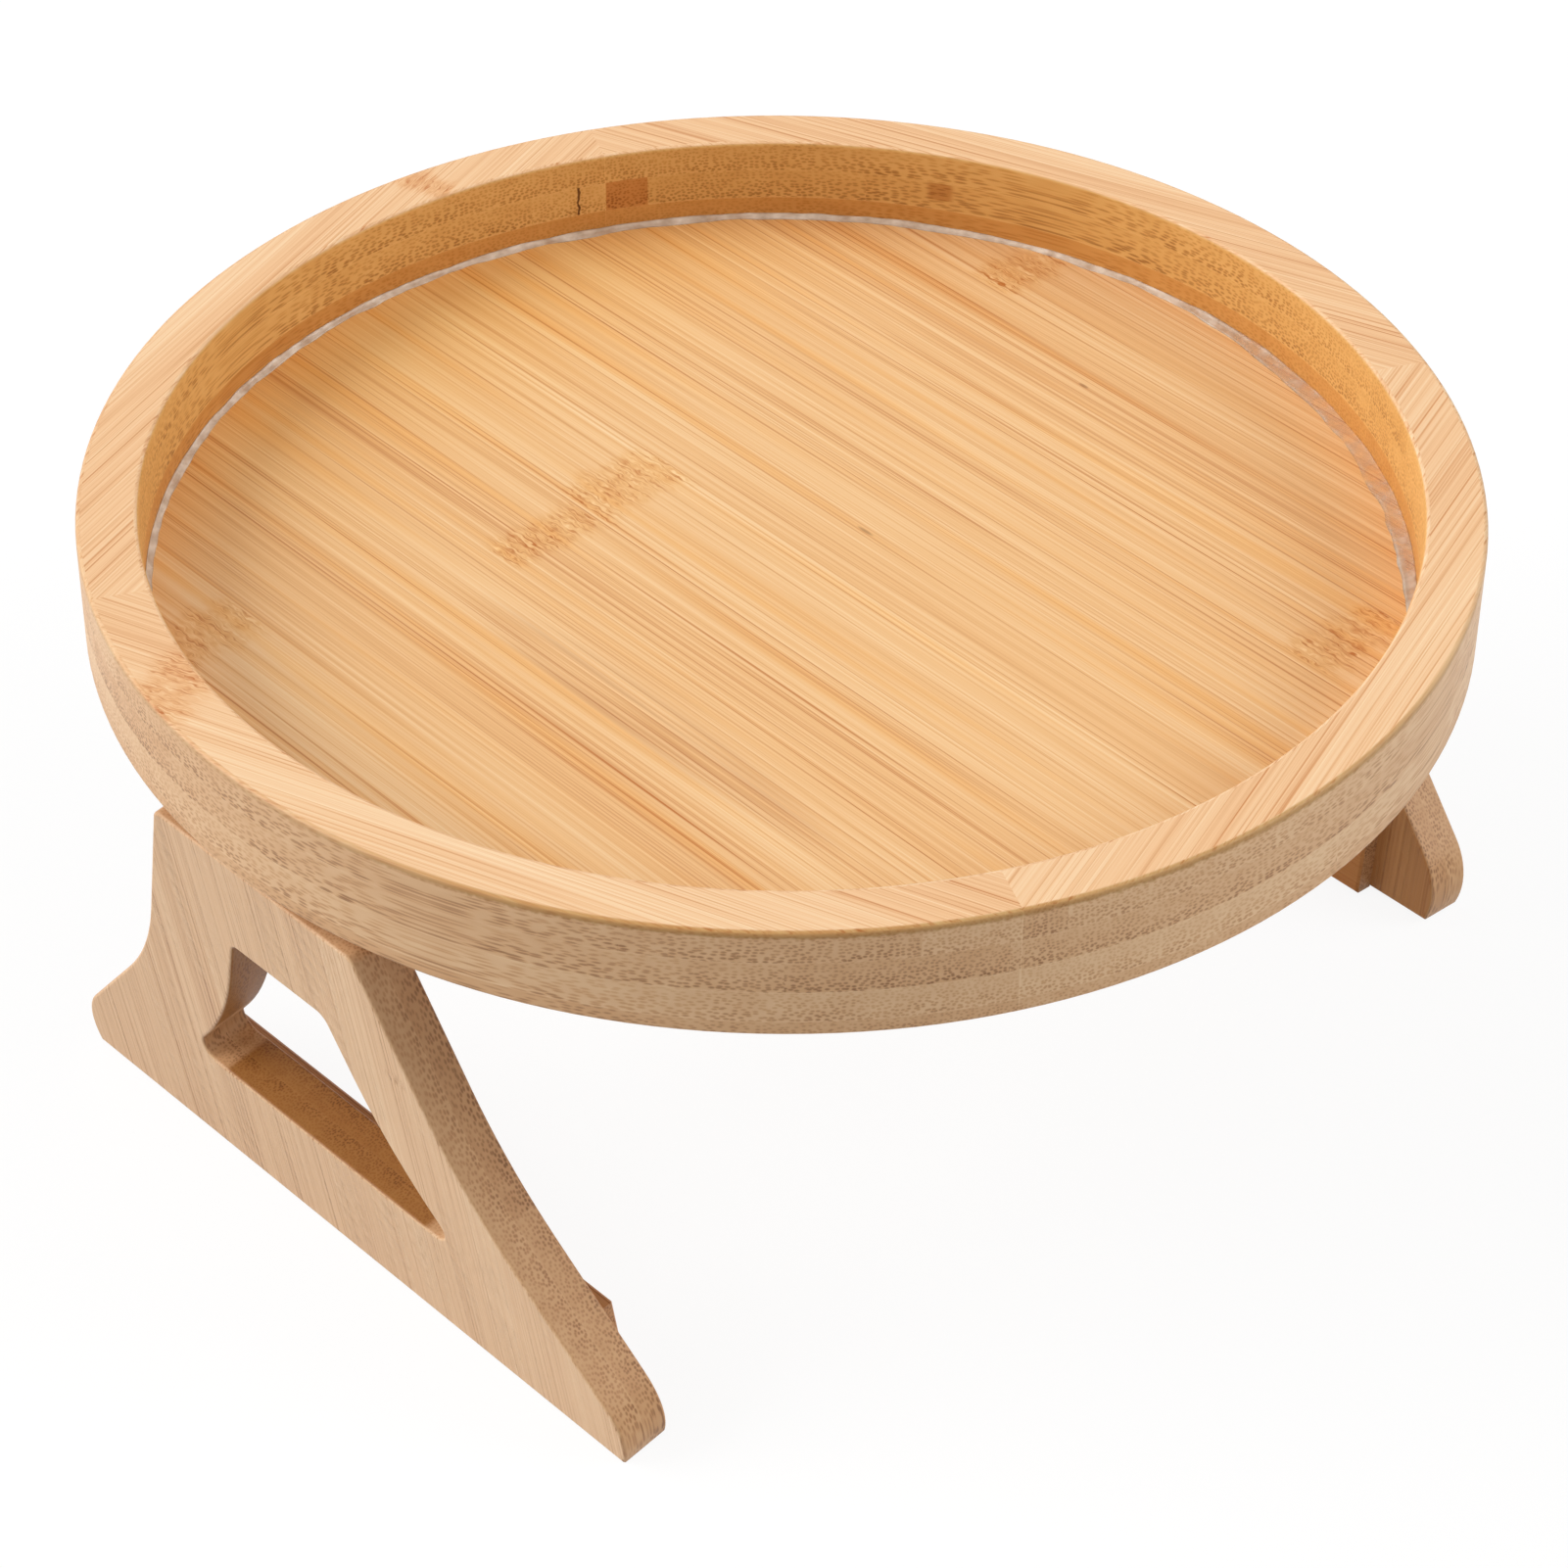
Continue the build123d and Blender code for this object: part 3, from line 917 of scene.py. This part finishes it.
def add_screw(shape, place, size):
    """Countersunk wood screw with a cross recess, from its head's face at a place down its own Z."""
    head_radius, head_height, crest, tip_start, length = size

    def ring(level, radius_at):
        made = []
        for side in range(screw_sides):
            angle = math.tau * side / screw_sides
            radius = radius_at(side / screw_sides)
            point = Vector((radius * math.cos(angle), radius * math.sin(angle), level))
            made.append(shape.verts.new(place @ point))
        return made

    rim = ring(0.0, lambda share: head_radius)
    rings = [rim, ring(head_rim_height, lambda share: head_radius)]
    rings.append(ring(head_height, lambda share: thread_root_share * crest))
    level = head_height + neck_height
    while level < length - tip_length:
        rings.append(ring(level, lambda share: thread_radius(level, share, crest, tip_start, length)))
        level += thread_pitch / thread_steps
    join_rings(shape, rings)
    tip = shape.verts.new(place @ Vector((0, 0, length)))
    for first in range(screw_sides):
        shape.faces.new((rings[-1][first], rings[-1][(first + 1) % screw_sides], tip))
    cross = cross_outline(recess_half_length, recess_half_width, 0.0)
    cross = [shape.verts.new(place @ point) for point in cross]
    pit_half_length = pit_length_share * recess_half_length
    pit = cross_outline(pit_half_length, pit_width_share * recess_half_width, recess_depth)
    pit = [shape.verts.new(place @ point) for point in pit]
    join_rings(shape, [pit, cross])
    shape.faces.new(pit)
    outline = []
    for loop in (rim, cross):
        for first, second in zip(loop, loop[1:] + loop[:1]):
            outline.append(shape.edges.get((first, second)) or shape.edges.new((first, second)))
    bmesh.ops.triangle_fill(shape, use_beauty=True, use_dissolve=False, edges=outline)


def driven_screws(node, body, direction, material):
    """The four screws of a leaf, heads on the open side."""
    shape = bmesh.new()
    across = direction.orthogonal().normalized()
    beside = direction.cross(across)
    for points in separate_shapes(node):
        low, high = span(points, direction)
        length = high - low
        middle = direction * low
        for way in (across, beside):
            middle = middle + way * (sum(span(points, way)) / 2)
        widest = max((point - middle).cross(direction).length for point in points)
        shank_start = shank_start_share * length
        shank = [point for point in points if (point - middle).dot(direction) > shank_start]
        crest = max((point - middle).cross(direction).length for point in shank)
        head_height = head_height_share * (widest - crest)
        size = (widest, head_height, crest, tip_start_share * length, length)
        spin = Matrix.Rotation(middle.dot(across) * spin_rate + middle.dot(beside), 4, "Z")
        place = Matrix((across, beside, direction)).transposed().to_4x4()
        add_screw(shape, Matrix.Translation(middle) @ place @ spin, size)
    bmesh.ops.scale(shape, vec=(mm, mm, mm), verts=shape.verts)
    bmesh.ops.recalc_face_normals(shape, faces=shape.faces)
    mesh = mesh_from(node + "_cut", shape)
    screws = mesh_object(node + "_cut", mesh, material, smooth=False)
    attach(screws, body)
    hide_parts(node)


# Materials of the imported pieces


def dress(node, material):
    for slot in frame["nodes"][node].material_slots:
        slot.material = material


for number in rim_ply_starts:
    dress("rim_segment_" + str(number), rim_bamboo(number))
dress("tray_floor", floor_bamboo())
hinge_steel = steel("hinge_steel", (206, 205, 200), 0.34)
screw_steel = steel("screw_steel", (214, 212, 204), 0.3)
spring_steel = steel("spring_steel", (150, 150, 152), 0.3)
bush_nylon = nylon()
rail = rail_bamboo()
for side in tucks:
    dress(side + "_leg_panel", leg_bamboo(side))
    dress(side + "_grip_strip", lath_bamboo(side))
    dress(side + "_hinge_rail", rail)
    dress(side + "_hinge_tray_leaf", hinge_steel)
    dress(side + "_hinge_leg_leaf", hinge_steel)
    dress(side + "_hinge_pin", hinge_steel)
    dress(side + "_hinge_spring", spring_steel)
    dress(side + "_hinge_bushes", bush_nylon)
    upward, outward, pin = leg_frame(side)
    driven_screws(side + "_tray_leaf_screws", "tray", up, screw_steel)
    driven_screws(side + "_leg_leaf_screws", side + "_leg", outward, screw_steel)
glue_bead()


# Studio floor: its radius in metres, its clouds in millimetres and its shades from 0 to 1

studio_radius = 6.0
studio_sides = 96
studio_cloud_size = (180.0, 180.0, 180.0)
studio_dark = 0.54
studio_light = 0.56
studio_lift = 0.5
studio_white_share = 0.8


def white_floor():
    """Pale where light falls on it, near white to the camera, and clear from below."""
    recipe = Recipe("studio_floor")
    cloud = recipe.swing(recipe.place, studio_cloud_size)
    tones = [(0.0, grey(studio_dark)), (1.0, grey(studio_light))]
    base = recipe.ramp(recipe.total((cloud, 0.2), (0.5, 1.0)), tones)
    paper = recipe.node("ShaderNodeBsdfDiffuse", {"Color": base})
    lift = recipe.node("ShaderNodeEmission", {"Color": grey(1.0), "Strength": studio_lift})
    white = recipe.node("ShaderNodeEmission", {"Color": grey(1.0), "Strength": 1.0})
    lifted = recipe.node("ShaderNodeAddShader", {0: paper, 1: lift})
    bright = recipe.node("ShaderNodeMixShader", {0: studio_white_share, 1: lifted, 2: white})
    top = recipe.node("ShaderNodeMixShader", {0: recipe.seen_directly(), 1: paper, 2: bright})
    clear = recipe.node("ShaderNodeBsdfTransparent")
    below = recipe.node("ShaderNodeNewGeometry", out="Backfacing")
    return recipe.surface(recipe.node("ShaderNodeMixShader", {0: below, 1: top, 2: clear}))


def studio_floor():
    shape = bmesh.new()
    bmesh.ops.create_circle(shape, cap_ends=True, segments=studio_sides, radius=studio_radius)
    mesh = mesh_from("studio_floor", shape)
    mesh_object("studio_floor", mesh, white_floor(), smooth=False)


studio_floor()


# Camera: angles in degrees, distances in metres and the lens in millimetres

camera_azimuth = -43.67
camera_elevation = 38.82
camera_roll = 0.575
camera_distance = 0.8357
camera_shift_right = 0.0003
camera_shift_up = -0.0548
camera_lens = 107.79


def camera():
    """Camera that looks past the middle of the rim, as the photograph was taken."""
    turn = math.radians(camera_azimuth)
    rise = math.radians(camera_elevation)
    roll = math.radians(camera_roll)
    level = Vector((math.cos(turn), math.sin(turn), 0))
    forward = Vector((-math.sin(turn) * math.cos(rise), math.cos(turn) * math.cos(rise), -math.sin(rise)))
    raised = level.cross(forward)
    right = level * math.cos(roll) + raised * math.sin(roll)
    upright = raised * math.cos(roll) - level * math.sin(roll)
    target = up * rim_top * mm + right * camera_shift_right + upright * camera_shift_up
    data = bpy.data.cameras.new("camera")
    data.lens = camera_lens
    made = bpy.data.objects.new("camera", data)
    made.matrix_world = Matrix((right, upright, -forward)).transposed().to_4x4()
    made.location = target - forward * camera_distance
    bpy.context.scene.collection.objects.link(made)
    bpy.context.scene.camera = made


# Light: azimuth counted from the camera's right towards the back, elevation, strength and softness

sky_strength = 0.1
lamps = {
    "left_softbox": (180.0, 30.0, 2.3, 40.0),
    "right_softbox": (0.0, 30.0, 1.45, 40.0),
    "front_left_softbox": (225.0, 30.0, 0.5, 50.0),
    "front_right_softbox": (315.0, 30.0, 0.45, 50.0),
    "back_left_softbox": (135.0, 30.0, 0.5, 50.0),
    "overhead_softbox": (90.0, 80.0, 0.38, 60.0),
}


def sun(name, azimuth, elevation, strength, softness):
    """Soft far lamp."""
    lamp = bpy.data.lights.new(name, "SUN")
    lamp.energy = strength
    lamp.angle = math.radians(softness)
    made = bpy.data.objects.new(name, lamp)
    around = math.radians(azimuth + camera_azimuth)
    rise = math.radians(elevation)
    towards = Vector((math.cos(around) * math.cos(rise), math.sin(around) * math.cos(rise), math.sin(rise)))
    made.rotation_mode = "QUATERNION"
    made.rotation_quaternion = towards.to_track_quat("Z", "Y")
    bpy.context.scene.collection.objects.link(made)


def sky(strength):
    """Even light all round, and plain white to the camera, in mirrors and through glass."""
    world = bpy.data.worlds.new("studio")
    world.use_nodes = True
    nodes = Nodes(world.node_tree)
    light = nodes.node("ShaderNodeBackground", {"Color": grey(1.0), "Strength": strength})
    seen = nodes.node("ShaderNodeBackground", {"Color": grey(1.0), "Strength": 1.0})
    mixed = nodes.node("ShaderNodeMixShader", {0: nodes.seen_directly(), 1: light, 2: seen})
    nodes.close("ShaderNodeOutputWorld", mixed)
    bpy.context.scene.world = world


camera()
sky(sky_strength)
for name, setting in lamps.items():
    sun(name, *setting)
bpy.context.scene.view_settings.view_transform = "Standard"
